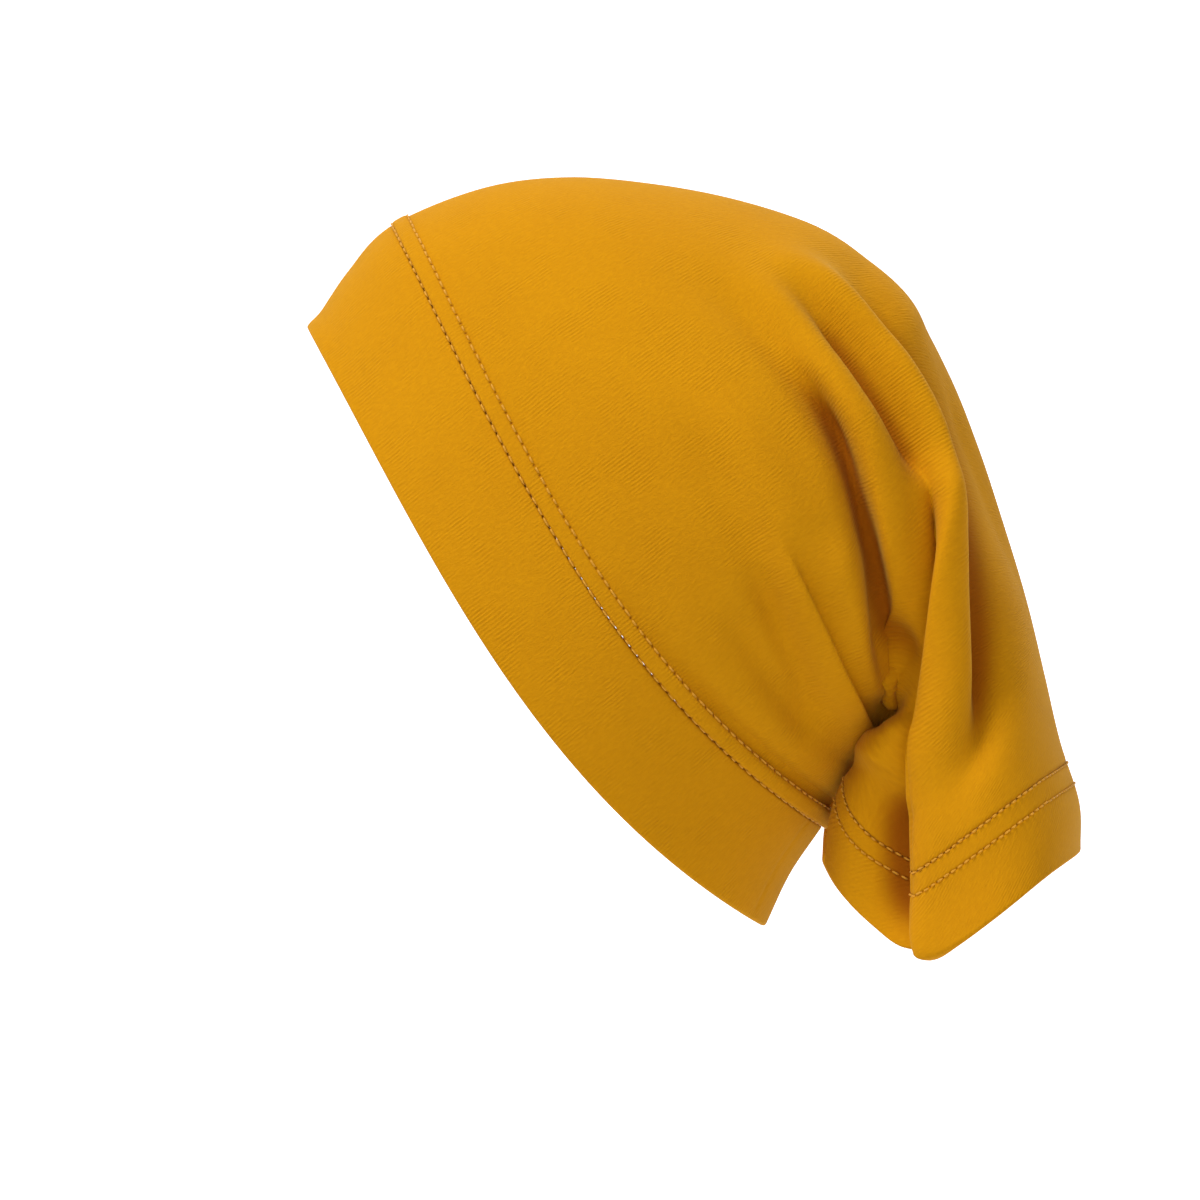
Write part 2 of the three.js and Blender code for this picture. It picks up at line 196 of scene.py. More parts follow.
# Columns: height, waves for each stitch, shift
PUCKER_WAVES = ((1.0, 1.0, 0.0), (0.6, 0.37, 1.3))
LOW_FROM = 0.55
LOW_TO = 0.85
HEM_CORNER = 0.0035
CORNER_PLACE = -0.2
CORNER_REACH = 0.09
NAPE_JOIN = 2.85
JOIN_PRESS = 0.0007
JOIN_REACH = 0.0006
JOIN_FADE = 0.004
ROW_REACH = 0.005
STRIP_SHARE = 0.5

# Stitches: each is a bar of thread that dips into the cloth at both ends, with its
# heights and reaches as shares of the thread's thickness
STITCH_SHARE = 0.74
STITCH_VARIES = 0.12
STITCH_STRAY = 0.00008
STITCH_SEED = 7
THREAD_RINGS = 6
THREAD_SIDES = 6
THREAD_FLAT = 1.25
THREAD_PROUD = 0.55
THREAD_DIP = 1.5
THREAD_BLUNT = 1.08
THREAD_THINNEST = 0.02
TIP_REACH = 0.2
BAND_LIFTS = (0.0004, 0.0004)
HEM_LIFTS = (0.00005, 0.00005)

# The knit: ribs slant up to the back in patches, and flecks of yarn lie along them
RIB_SLANT = math.radians(38.0)
RIB_PITCH = 0.0012
RIB_WAVER = 7.0
WAVER_SCALE = 90.0
PATCH_SCALE = 75.0
PATCH_FROM = 0.44
PATCH_TO = 0.68
PATCH_REST = 0.08
FLECK_SCALE = (430.0, 1150.0, 1.0)
FLECK_FROM = 0.36
FLECK_TO = 0.66
YARN_SCALE = (700.0, 2200.0, 1.0)
FUZZ_SCALE = 1500.0
MOTTLE_SCALE = 28.0
DARK_TINT = (0.87, 0.82, 0.7)
PALE_TINT = (1.09, 1.14, 1.3)

# How much each pattern changes the tone, and how high it stands in the relief
TONE = {"fleck": 0.22, "hatch": 0.2, "mottle": 0.5, "fuzz": 0.35}
RELIEF = {"hatch": 0.5, "fleck": 0.5, "yarn": 0.4, "fuzz": 0.35, "hole": -2.0, "groove": -0.5}
KNIT_RELIEF = 0.0003

# Needle holes, as places along a stitch, and the pressed groove of a stitch row, both painted darker as
# shade
HOLE_FROM = 0.38
HOLE_TO = 0.45
HOLE_SIZE = 0.0007
HOLE_SHADE_TINT = (0.42, 0.28, 0.2)
HOLE_SHADE_SHARE = 0.85
GROOVE_SIZE = 0.0009
GROOVE_SHADE_TINT = (0.72, 0.6, 0.5)
GROOVE_SHADE_SHARE = 0.35

# Sewing thread
TWIST_SCALE = 2600.0
THREAD_DARK = (0.8, 0.75, 0.7)
THREAD_PALE = (1.08, 1.1, 1.2)

# Painted shade in the folds: the cloth is painted darker and redder where the folds sink it, from the
# first sink to the last, in metres
PAINTED_SHADE_FROM = 0.004
PAINTED_SHADE_TO = 0.0108
PAINTED_SHADE_TINT = (0.53, 0.34, 0.2)

# Stage
VIEW_CENTRE = (0.0096, 0.0, -0.1341)
FRAME_WIDTH = 0.384
CAMERA_AWAY = 4.0
SENSOR = 36.0
NEAREST, FARTHEST = 0.1, 100.0
FLOOR_LEVEL = -1.5
FLOOR_RADIUS = 6.0
FLOOR_SIDES = 96
COVE_RADIUS = 2.0
COVE_STEPS = 12
WALL_HEIGHT = 2.5
BACKDROP_GLOW = 0.72
SKY_STRENGTH = 0.32
# Columns: name, place, size, power, colour
LIGHTS = (
    ("key", (-1.35, -1.1, 2.6), 1.0, 92.0, (1.0, 1.0, 0.96)),
    ("fill", (0.2, -2.4, -0.3), 1.5, 13.0, (1.0, 1.0, 0.96)),
    ("back", (0.9, 1.5, 2.0), 1.6, 24.0, (1.0, 1.0, 0.96)),
)


class CapSizes(bpy.types.PropertyGroup):
    """Cloth sizes of the cap."""

    length: FloatProperty(
        name="Length", description="From the brow edge to the back of the tail",
        default=0.2483, min=0.1, max=0.5, subtype="DISTANCE", unit="LENGTH")
    height: FloatProperty(
        name="Height", description="From the top of the crown to the tail's low corner",
        default=0.2493, min=0.1, max=0.5, subtype="DISTANCE", unit="LENGTH")
    width: FloatProperty(
        name="Width", description="Widest, across the crown",
        default=0.156, min=0.1, max=0.3, subtype="DISTANCE", unit="LENGTH")
    band_brow: FloatProperty(
        name="Band at the brow", description="Depth of the band along the cloth, at the brow",
        default=0.042, min=0.02, max=0.08, subtype="DISTANCE", unit="LENGTH")
    band_nape: FloatProperty(
        name="Band at the nape", description="Depth of the band along the cloth, at the nape",
        default=0.036, min=0.02, max=0.08, subtype="DISTANCE", unit="LENGTH")
    hem: FloatProperty(
        name="Hem", description="Depth of the tail's turned hem",
        default=0.028, min=0.01, max=0.06, subtype="DISTANCE", unit="LENGTH")
    seam: FloatProperty(
        name="Seam", description="Width of the strip between two stitch rows",
        default=0.0056, min=0.002, max=0.012, subtype="DISTANCE", unit="LENGTH")
    single: FloatProperty(
        name="Single cloth", description="Thickness of one layer of jersey",
        default=0.0012, min=0.0005, max=0.003, subtype="DISTANCE", unit="LENGTH")
    double: FloatProperty(
        name="Double cloth", description="Thickness of the turned band and hem",
        default=0.0022, min=0.001, max=0.005, subtype="DISTANCE", unit="LENGTH")
    gap: FloatProperty(
        name="Gap", description="Gap between two pieces of cloth at a seam",
        default=0.0003, min=0.0001, max=0.001, subtype="DISTANCE", unit="LENGTH")
    hem_rows: FloatProperty(
        name="Hem rows", description="Distance between the two stitch rows of the hem",
        default=0.0068, min=0.003, max=0.012, subtype="DISTANCE", unit="LENGTH")
    stitch: FloatProperty(
        name="Band stitch", description="Length of one stitch of the band with its gap",
        default=0.0038, min=0.002, max=0.008, subtype="DISTANCE", unit="LENGTH")
    hem_stitch: FloatProperty(
        name="Hem stitch", description="Length of one stitch of the hem with its gap",
        default=0.0027, min=0.0015, max=0.008, subtype="DISTANCE", unit="LENGTH")
    thread: FloatProperty(
        name="Thread", description="Thickness of the sewing thread",
        default=0.00045, min=0.0002, max=0.001, subtype="DISTANCE", unit="LENGTH")


class CapLooks(bpy.types.PropertyGroup):
    """Colours of the cap and its stage."""

    jersey: FloatVectorProperty(
        name="Jersey", description="Colour of the knitted cloth",
        default=(0.57, 0.24, 0.001), size=3, min=0.0, max=1.0, subtype="COLOR")
    thread: FloatVectorProperty(
        name="Thread", description="Colour of the sewing thread",
        default=(0.70, 0.33, 0.015), size=3, min=0.0, max=1.0, subtype="COLOR")
    backdrop: FloatVectorProperty(
        name="Backdrop", description="Colour of the floor and backdrop",
        default=(0.93, 0.93, 0.93), size=3, min=0.0, max=1.0, subtype="COLOR")


def sizes():
    return bpy.context.scene.cap_sizes


def looks():
    return bpy.context.scene.cap_looks


def placed(name, data):
    """A new object of the scene, at the origin."""
    obj = bpy.data.objects.new(name, data)
    bpy.context.scene.collection.objects.link(obj)
    return obj


def ease(x):
    """0 up to 0, 1 from 1 on, and smooth between."""
    x = np.clip(x, 0.0, 1.0)
    return x * x * (3.0 - 2.0 * x)


def through(rows, place):
    """Catmull-Rom curve through the rows of a table, at places from 0 to 1."""
    rows = np.asarray(rows, float)
    last = len(rows) - 1
    s = np.clip(place, 0.0, 1.0) * last
    i = np.minimum(s.astype(int), last - 1)
    t = (s - i)[..., None]
    p1, p2 = rows[i], rows[i + 1]
    p0 = np.where((i > 0)[..., None], rows[np.maximum(i - 1, 0)], 2 * p1 - p2)
    p3 = np.where((i + 2 <= last)[..., None], rows[np.minimum(i + 2, last)], 2 * p2 - p1)
    square = 2 * p0 - 5 * p1 + 4 * p2 - p3
    cube = 3 * p1 - p0 - 3 * p2 + p3
    return 0.5 * (2 * p1 + (p2 - p0) * t + square * t**2 + cube * t**3)


def soft_min(a, b, softness):
    """The smaller of two values, rounded where they meet."""
    h = np.clip(0.5 + 0.5 * (b - a) / softness, 0.0, 1.0)
    return b * (1 - h) + a * h - softness * h * (1 - h)


def side_place(x, z):
    """Metres on the side of the cap, from hundredths of its length and height."""
    s = sizes()
    return (x - SEAT_PLACE) * s.length / HUNDRED, (z / HUNDRED - 1) * s.height + s.single


def plain_surface(angle, place):
    """Outer surface before its folds: angle round the tube (0 on the ridge, half a turn
    under the nape, the wearer's left first) and place along it from 0 to 1."""
    table = through(SECTIONS, place)
    top_x, top_z, under_x, under_z, bow_x, bow_z, point, tuck, half, taper = np.moveaxis(table, -1, 0)
    c = np.cos(angle)
    inward = np.clip((POINT_PLACE - c) / (1 + POINT_PLACE), 0.0, 1.0)
    round_bow = (1 - c * c) * (1 - BOW_SKEW * c)
    tent = soft_min(
        (1 - c) / (1 - POINT_PLACE),
        1 + (c - POINT_PLACE) / (1 + POINT_PLACE) / WALL_REACH,
        POINT_SOFTNESS,
    )
    bow = round_bow * (1 - point) - soft_min(-tent, 0.0, FOOT_SOFTNESS) * point
    rise = np.sin(0.5 * math.pi * inward / TUCK_PEAK)
    fall = np.cos(0.5 * math.pi * (inward - TUCK_PEAK) / (1 - TUCK_PEAK)) ** 2
    tucked = tuck * np.where(inward < TUCK_PEAK, rise, fall)
    x = (top_x + under_x) / 2 + (top_x - under_x) / 2 * c + bow_x * bow + tucked
    z = (top_z + under_z) / 2 + (top_z - under_z) / 2 * c + bow_z * bow
    y = -half * np.sin(angle) * (1 + taper * c)
    x, z = side_place(x, z)
    return np.stack([x, y * sizes().width / HUNDRED, z], -1)


def unit(v):
    """Vectors of length 1."""
    return v / np.maximum(np.linalg.norm(v, axis=-1, keepdims=True), 1e-12)


def grid_normals(points):
    """Outward normals of a grid whose first axis goes round the tube and closes."""
    round_step = np.roll(points, -1, axis=0) - np.roll(points, 1, axis=0)
    along_step = np.gradient(points, axis=1)
    return unit(np.cross(round_step, along_step))


def nearest_on_path(path, spots):
    """Signed distance (positive on the right), distance past an end, share along and the
    sideways unit, for spots on the side of the cap."""
    steps = np.diff(path, axis=0)
    lengths = np.linalg.norm(steps, axis=1)
    along = np.concatenate([[0.0], np.cumsum(lengths)]) / lengths.sum()
    tangents = unit(np.gradient(path, axis=0))
    first = ((spots[:, None] - path[None]) ** 2).sum(-1).argmin(1)
    best = np.full(len(spots), np.inf)
    signed = np.zeros(len(spots))
    past = np.zeros(len(spots))
    share = np.zeros(len(spots))
    right = np.zeros((len(spots), 2))
    for start in (first - 1, first):
        start = np.clip(start, 0, len(steps) - 1)
        f = ((spots - path[start]) * steps[start]).sum(-1) / lengths[start] ** 2
        g = np.clip(f, 0.0, 1.0)
        away = spots - path[start] - steps[start] * g[:, None]
        gap = np.linalg.norm(away, axis=-1)
        way = unit(tangents[start] * (1 - g)[:, None] + tangents[start + 1] * g[:, None])
        side = np.stack([way[:, 1], -way[:, 0]], -1)
        off = (away * side).sum(-1)
        beyond = (f < 0) | (f > 1)
        use = gap < best
        best = np.where(use, gap, best)
        signed = np.where(use, np.where(beyond, off, np.sign(off) * gap), signed)
        past = np.where(use, np.where(beyond, (away * way).sum(-1), 0.0), past)
        share = np.where(use, along[start] * (1 - g) + along[start + 1] * g, share)
        right = np.where(use[:, None], side, right)
    return signed, past, share, right


def folded(points, normals, angle):
    """Moves the points of the plain surface by all folds, on both sides of the cap."""
    shape = points.shape
    flat = points.reshape(-1, 3)
    normal = normals.reshape(-1, 3)
    sine = np.sin(angle).reshape(-1)
    side_weight = ease((np.abs(sine) + SIDE_START) / SIDE_SOFTNESS)
    spots = flat[:, [0, 2]]
    moved = flat.copy()
    steps = np.linspace(0.0, 1.0, PATH_STEPS)
    for _, kind, high, reach, lift, pull, fade_in, fade_out, far, route in FOLDS:
        reach = reach * sizes().length / HUNDRED
        lift = lift * sizes().length / HUNDRED
        path = np.stack(side_place(*through(route, steps).T), -1)
        low, top = path.min(0) - FOLD_BOUND * reach, path.max(0) + FOLD_BOUND * reach
        inside = np.where(((spots > low) & (spots < top)).all(-1))[0]
        for start in range(0, len(inside), CHUNK):
            part = inside[start:start + CHUNK]
            signed, past, share, right = nearest_on_path(path, spots[part])
            q = high * signed / reach
            strength = ease(share / fade_in) * np.exp(-((past / reach) ** 2)) * side_weight[part]
            if fade_out > 0:
                strength = strength * ease((1 - share) / fade_out)
            strength = strength * np.where(sine[part] > 0, 1.0, far)
            n = normal[part]
            if kind == "ridge":
                moved[part] += n * (lift * np.exp(-q * q / 2) * strength)[:, None]
                continue
            step = q / np.sqrt(1 + q * q) * np.exp(-((q / PLEAT_DECAY) ** 2))
            moved[part] += n * (lift * step * strength)[:, None]
            across = high * np.stack([right[:, 0], np.zeros(len(part)), right[:, 1]], -1)
            across -= n * (across * n).sum(-1, keepdims=True)
            drawn = -q * np.exp(0.5 - 0.5 * q * q) * pull * reach * strength
            moved[part] += across * drawn[:, None]
    return moved.reshape(shape)


class Tube:
    """The plain surface along the columns of a wall, measured along its cloth."""

    def __init__(self, angles):
        self.angles = angles
        self.places = np.linspace(0.0, 1.0, LENGTH_STEPS + 1)
        self.plain = plain_surface(*np.broadcast_arrays(angles[:, None], self.places[None, :]))
        gaps = np.linalg.norm(np.diff(self.plain, axis=1), axis=-1)
        self.lengths = np.concatenate([np.zeros((len(angles), 1)), np.cumsum(gaps, 1)], 1)
        self.total = self.lengths[:, -1]

    def places_at(self, lengths):
        rows = [np.interp(want, have, self.places) for want, have in zip(lengths, self.lengths)]
        return np.array(rows)

    def surface(self, lengths):
        """Outer points, their normals, their flat place on the cut cloth, how far the
        folds sink them, and the way out of the surface without its folds."""
        places = self.places_at(lengths)
        angle = np.broadcast_to(self.angles[:, None], places.shape)
        plain = plain_surface(angle, places)
        ways = grid_normals(plain)
        outer = folded(plain, ways, angle)
        sunk = ((plain - outer) * ways).sum(-1)
        return outer, grid_normals(outer), self.flat_places(plain), sunk, ways

    def flat_places(self, plain):
        """Where each point lies on its side of the cap when that side is laid out flat."""
        steps = np.linalg.norm(plain - np.roll(plain, 1, axis=0), axis=-1)
        run = np.cumsum(steps, axis=0)
        turn = self.angles
        flat = np.empty(plain.shape[:2] + (2,))
        for side, middle in ((turn < math.pi, math.pi / 2), (turn >= math.pi, 1.5 * math.pi)):
            at = np.abs(turn - middle).argmin()
            sign = np.where(turn[side] < middle, -1.0, 1.0) * (1 if middle < math.pi else -1)
            away = np.abs(run[side] - run[at]) * sign[:, None]
            top, under = np.abs(turn).argmin(), np.abs(turn - math.pi).argmin()
            down = unit(plain[under][:, [0, 2]] - plain[top][:, [0, 2]])
            flat[side] = plain[at][None, :, [0, 2]] + away[..., None] * down[None]
        return flat


def column_angles(count):
    """Angles of the columns, crowded where the cloth bends over its sides."""
    turn = np.arange(count) / count * TURN
    return turn + SIDE_CROWDING * np.sin(2 * turn)


def band_depth(angle):
    """Depth of the band along the cloth, from the brow to the nape."""
    share = (1 - np.cos(angle)) / 2
    return sizes().band_brow * (1 - share) + sizes().band_nape * share


def rows_between(start, end, dense_start, dense_end, step, fine):
    """Shares of the way from 0 to 1 at which rows lie, closer together near the ends."""
    places = [0.0]
    span = end - start
    while places[-1] < span:
        here = places[-1]
        near = here < dense_start or span - here < dense_end
        places.append(here + (fine if near else step))
    return np.array(places) / places[-1]


def run_at(tube, lengths):
    """Distance round the tube at one length on each column."""
    points = plain_surface(tube.angles, tube.places_at(lengths[:, None])[:, 0])
    gaps = np.linalg.norm(np.roll(points, -1, axis=0) - points, axis=-1)
    return np.concatenate([[0.0], np.cumsum(gaps)])


def closed_wall(name, columns_of_loops, flat, rows, sunk):
    """One closed mesh from a loop of points for each column, with its two cloth maps and
    how far its folds sink each point."""
    columns, ring = columns_of_loops.shape[:2]
    i = np.arange(columns)[:, None]
    j = np.arange(ring)[None, :]
    next_i, next_j = (i + 1) % columns, (j + 1) % ring
    corners = np.stack(np.broadcast_arrays(
        i * ring + j, next_i * ring + j, next_i * ring + next_j, i * ring + next_j), -1)
    mesh = bpy.data.meshes.new(name)
    mesh.vertices.add(columns * ring)
    mesh.vertices.foreach_set("co", columns_of_loops.reshape(-1))
    faces = columns * ring
    mesh.loops.add(faces * 4)
    mesh.loops.foreach_set("vertex_index", corners.reshape(-1).astype(np.int32))
    mesh.polygons.add(faces)
    mesh.polygons.foreach_set("loop_start", np.arange(faces, dtype=np.int32) * 4)
    mesh.update(calc_edges=True)
    for layer_name, values in (("Cloth", flat), ("Rows", rows)):
        last = values[:1].copy()
        if layer_name == "Rows":
            last[..., 0] = values[-1:, :, 0] + (values[-1:, :, 0] - values[-2:-1, :, 0])
        after = np.concatenate([values[1:], last])
        quad = np.stack([values, after, np.roll(after, -1, axis=1), np.roll(values, -1, axis=1)], 2)
        layer = mesh.uv_layers.new(name=layer_name)
        layer.data.foreach_set("uv", quad.reshape(-1))
    # The jersey material reads this sink to paint shade into the folds
    mesh.attributes.new("Sunk", "FLOAT", "POINT").data.foreach_set("value", sunk.reshape(-1))
    mesh.validate()
    mesh.shade_smooth()
    return placed(name, mesh)


def turned_end(outer_end, outer_next, inner_end, wall):
    """A round edge from the outer face to the inner one, where the cloth turns back."""
    middle = (outer_end + inner_end) / 2
    half = (outer_end - inner_end) / 2
    outward = unit(outer_end - outer_next) * wall / 2
    steps = np.linspace(0.0, math.pi, EDGE_STEPS + 2)[1:-1]
    return np.stack([middle + half * math.cos(a) + outward * math.sin(a) for a in steps], 1)


def deepest(sunk, reach):
    """The deepest sink within a few rows, so that the wider rows of the inner face stay
    under every fold of the outer one."""
    rows = np.arange(sunk.shape[1])
    near = [sunk[:, np.clip(rows + k, 0, rows[-1])] for k in range(-reach, reach + 1)]
    return np.maximum.reduce(near)


def round_edge(face, inner, end, wall):
    """Points and cloth maps of the round edge at one end of a face: 0 its start, -1 its end."""
    outer, *maps = face
    beside = 1 if end == 0 else -2
    bend = turned_end(outer[:, end], outer[:, beside], inner[:, end], wall)
    return [bend, *(np.repeat(values[:, [end]], EDGE_STEPS, 1) for values in maps)]


def cloth_wall(name, tube, lengths, rise, wall, rows, turned=None):
    """A cloth wall with its outer face at the given lengths on each column. rise lifts the
    outer face, wall is its thickness, and turned names the end where the cloth turns back."""
    points, normals, flat, sunk, ways = tube.surface(lengths)
    face = (points + normals * rise[..., None], flat, rows, sunk)
    lowest = deepest(sunk, UNDER_ROWS)
    deep_by = lowest - sunk
    clear = deep_by + FOLD_CLEAR * ease(deep_by / FOLD_CLEAR)
    over_nape = ease((np.cos(tube.angles) - NAPE_FROM) / NAPE_FADE)[:, None]
    under = wall + clear * over_nape
    last = lengths.shape[1] - 1
    inner_rows = np.unique(np.r_[0, np.arange(0, last + 1, INNER_EVERY), last])
    inner = (points - ways * under[..., None])[:, inner_rows]
    # The inner face carries the deepest sink nearby, so the material paints fold shade on it wherever it
    # shows
    back = [inner, *(values[:, inner_rows] for values in (flat, rows, lowest))]
    strips = [face, [values[:, ::-1] for values in back]]
    if turned == "end":
        strips.insert(1, round_edge(face, inner, -1, wall))
    if turned == "start":
        strips.append([values[:, ::-1] for values in round_edge(face, inner, 0, wall)])
    return closed_wall(name, *(np.concatenate(parts, 1) for parts in zip(*strips)))


def bump(x, middle, width):
    """A bell of height 1."""
    return np.exp(-(((x - middle) / width) ** 2))


def low_side(angle):
    """0 over the crown and 1 where the seam runs down to the nape."""
    return ease(((1 - np.cos(angle)) / 2 - LOW_FROM) / (LOW_TO - LOW_FROM))


def pucker(along, offset):
    """Small waves of the cloth beside a stitch row."""
    wave = sum(height * np.sin(TURN * along * often + shift) for height, often, shift in PUCKER_WAVES)
    return PUCKER * wave * np.exp(-(offset / PUCKER_REACH) ** 2)


def row_map(runs, offsets):
    """Cloth map for stitch rows: stitches along the nearest row, and the distance to it."""
    distance = np.abs(np.stack(offsets, -1))
    nearest = distance.argmin(-1)
    along = np.take_along_axis(np.stack(np.broadcast_arrays(*runs), -1), nearest[..., None], -1)[..., 0]
    return np.stack([along, np.minimum(distance.min(-1), ROW_REACH)], -1)


class Seams:
    """The stitch rows: where each runs along the cloth, and its distance round the tube."""

    def __init__(self, tube):
        s = sizes()
        depth = band_depth(tube.angles)
        self.band_low = depth + s.gap / 2
        self.band_high = depth + s.gap + s.seam
        self.hem_high = tube.total - s.hem - s.gap / 2
        self.hem_low = tube.total - s.hem + s.hem_rows

    def stitches(self, tube, name):
        """Stitches passed at each column of one row, a whole number round the tube."""
        run = run_at(tube, getattr(self, name))
        pitch = sizes().stitch if name.startswith("band") else sizes().hem_stitch
        return run[:-1] / run[-1] * round(run[-1] / pitch)


def band_lip(lengths, angle):
    """The rolled lip of the rim over the brow."""
    over_brow = np.maximum(0.0, np.cos(angle)) ** 4
    return LIP_RISE * over_brow * bump(lengths, 0.0, LIP_REACH)


def make_band():
    """The turned band with its lip, its own seam and the lower stitch row."""
    s = sizes()
    tube = Tube(column_angles(BAND_COLUMNS))
    seams = Seams(tube)
    depth = band_depth(tube.angles)
    share = rows_between(0.0, s.band_brow, BAND_DENSE, BAND_DENSE, COARSE_ROW, FINE_ROW)
    lengths = depth[:, None] * share[None, :]
    angle = np.broadcast_to(tube.angles[:, None], lengths.shape)
    offset = lengths - seams.band_low[:, None]
    along = seams.stitches(tube, "band_low")[:, None]
    rise = band_lip(lengths, angle) - SEAM_PRESS * bump(offset, 0.0, PRESS_REACH) + pucker(along, offset)
    join = (angle - NAPE_JOIN) * s.width / 2
    rise = rise - JOIN_PRESS * bump(join, 0.0, JOIN_REACH) * ease(lengths / JOIN_FADE)
    rows = row_map([along], [offset])
    return cloth_wall("band_cloth", tube, lengths, rise, s.double, rows, turned="start")


def make_crown():
    """The crown and tail, with the raised strip of the seam at its front."""
    s = sizes()
    tube = Tube(column_angles(CROWN_COLUMNS))
    seams = Seams(tube)
    start = band_depth(tube.angles) + s.gap
    end = tube.total - s.hem - s.gap
    fine = np.arange(0.0, s.seam + CROWN_DENSE, FINE_ROW)
    rest = end - start - fine[-1]
    even = np.linspace(0.0, 1.0, CROWN_ROWS + 1)[1:]
    share = np.interp(even, (0.0, FRONT_ROWS, 1.0), (0.0, FRONT_SHARE, 1.0))
    lengths = np.concatenate([
        start[:, None] + fine[None, :],
        start[:, None] + fine[-1] + rest[:, None] * share[None, :],
    ], 1)
    angle = np.broadcast_to(tube.angles[:, None], lengths.shape)
    past = lengths - start[:, None]
    low = low_side(angle)
    height = SEAM_RISE + (LOW_SEAM_RISE - SEAM_RISE) * low
    strip = ease((s.seam + SEAM_EDGE - past) / SEAM_EDGE) * height
    dome = SEAM_DOME * np.sin(math.pi * np.clip(past / s.seam, 0.0, 1.0))
    behind = -BEHIND_SINK * low * bump(past, s.seam + BEHIND_PLACE, BEHIND_REACH)
    swell = CROWN_SWELL * low * bump(past, s.seam + SWELL_PLACE, SWELL_REACH)
    runs = [seams.stitches(tube, name)[:, None] for name in ("band_low", "band_high", "hem_high")]
    offsets = [lengths - row[:, None] for row in (seams.band_low, seams.band_high, seams.hem_high)]
    pressed = sum(SEAM_PRESS * bump(offset, 0.0, PRESS_REACH) for offset in offsets)
    waves = sum(pucker(run, offset) for run, offset in zip(runs, offsets))
    rise = strip + dome + behind + swell - pressed + waves
    rows = row_map(runs, offsets)
    return cloth_wall("crown_cloth", tube, lengths, rise, s.single, rows)


def make_hem():
    """The turned hem, with its low corner drawn in."""
    s = sizes()
    tube = Tube(column_angles(HEM_COLUMNS))
    seams = Seams(tube)
    share = rows_between(0.0, s.hem, s.hem_rows + HEM_DENSE, HEM_DENSE, COARSE_ROW, FINE_ROW)
    corner = HEM_CORNER * bump(np.cos(tube.angles), CORNER_PLACE, CORNER_REACH)
    depth = s.hem - corner[:, None] * share[None, :] ** 3
    lengths = (tube.total - s.hem)[:, None] + depth * share[None, :]
    runs = [seams.stitches(tube, name)[:, None] for name in ("hem_high", "hem_low")]
    offsets = [lengths - row[:, None] for row in (seams.hem_high, seams.hem_low)]
    pressed = sum(SEAM_PRESS * bump(offset, 0.0, PRESS_REACH) for offset in offsets)
    rise = sum(pucker(run, offset) for run, offset in zip(runs, offsets)) - pressed
    rows = row_map(runs, offsets)
    return cloth_wall("hem_cloth", tube, lengths, rise, s.double, rows, turned="end")


def at_steps(steps, known, values):
    """Values of a closed row read off at the given numbers of stitches."""
    return np.stack([np.interp(steps, known, values[:, axis]) for axis in range(3)], -1)


def thread_bar(spine, up, side, ahead, thickness):
    """Points of one stitch: the rings round its spine, then its two tips."""
    t = np.linspace(-1.0, 1.0, THREAD_RINGS)
    radius = thickness / 2 * np.sqrt(np.clip(THREAD_BLUNT - t ** 6, THREAD_THINNEST, 1.0))
    turn = np.arange(THREAD_SIDES) / THREAD_SIDES * TURN
    circle = np.cos(turn)[:, None] * side * THREAD_FLAT + np.sin(turn)[:, None] * up
    rings = spine[:, None] + circle[None] * radius[:, None, None]
    tip = ahead * thickness * TIP_REACH
    return np.concatenate([rings.reshape(-1, 3), spine[:1] - tip, spine[-1:] + tip])


def bar_faces():
    """Faces of one stitch, in the numbers of its own points."""
    sides = THREAD_SIDES
    last_ring = (THREAD_RINGS - 1) * sides
    start_tip, end_tip = last_ring + sides, last_ring + sides + 1
    pairs = [(b, (b + 1) % sides) for b in range(sides)]
    faces = [[a + b, a + c, a + sides + c, a + sides + b]
             for a in range(0, last_ring, sides) for b, c in pairs]
    for b, c in pairs:
        faces.append([c, b, start_tip])
        faces.append([last_ring + b, last_ring + c, end_tip])
    return faces


def sew(name, row_names, lifts):
    """Threads of the named rows as one mesh, each stitch a small rounded bar on the cloth."""
    thread = sizes().thread
    tube = Tube(column_angles(CROWN_COLUMNS))
    seams = Seams(tube)
    rng = np.random.default_rng(STITCH_SEED)
    t = np.linspace(-1.0, 1.0, THREAD_RINGS)
    hump = THREAD_PROUD - THREAD_DIP * t ** 4
    bars = []
    for row_name, lift in zip(row_names, lifts):
        lengths = getattr(seams, row_name)
        beside = np.stack([lengths - FINE_ROW, lengths, lengths + FINE_ROW], 1)
        points, normals = (grid[:, 1] for grid in tube.surface(beside)[:2])
        strip = STRIP_SHARE if row_name.startswith("band") else 0.0
        height = lift + (LOW_SEAM_RISE - SEAM_RISE) * low_side(tube.angles) * strip
        line = points + normals * height[:, None]
        along = seams.stitches(tube, row_name)
        count = int(round(2 * along[-1] - along[-2]))
        known = np.append(along, count)
        path = np.concatenate([line, line[:1]])
        ups = np.concatenate([normals, normals[:1]])
        for k in range(count):
            middle = k + 0.5
            reach = 0.5 * STITCH_SHARE * (1 + STITCH_VARIES * rng.normal())
            spine = at_steps(middle + reach * t, known, path)
            up = unit(at_steps(middle, known, ups))
            ahead = unit(spine[-1] - spine[0])
            side = np.cross(ahead, up)
            spine += side * rng.normal() * STITCH_STRAY
            spine += up * (thread * hump)[:, None]
            bars.append(thread_bar(spine, up, side, ahead, thread))
    one = bar_faces()
    faces = [[k * len(bar) + corner for corner in face] for k, bar in enumerate(bars) for face in one]
    mesh = bpy.data.meshes.new(name)
    mesh.from_pydata(np.concatenate(bars).tolist(), [], faces)
    mesh.validate()
    mesh.shade_smooth()
    return placed(name, mesh)


def find_socket(sockets, key):
    """The socket with this identifier, or else with this name."""
    for socket in sockets:
        if socket.identifier == key:
            return socket
    for socket in sockets:
        if socket.name == key and socket.enabled:
            return socket
    raise KeyError(key)


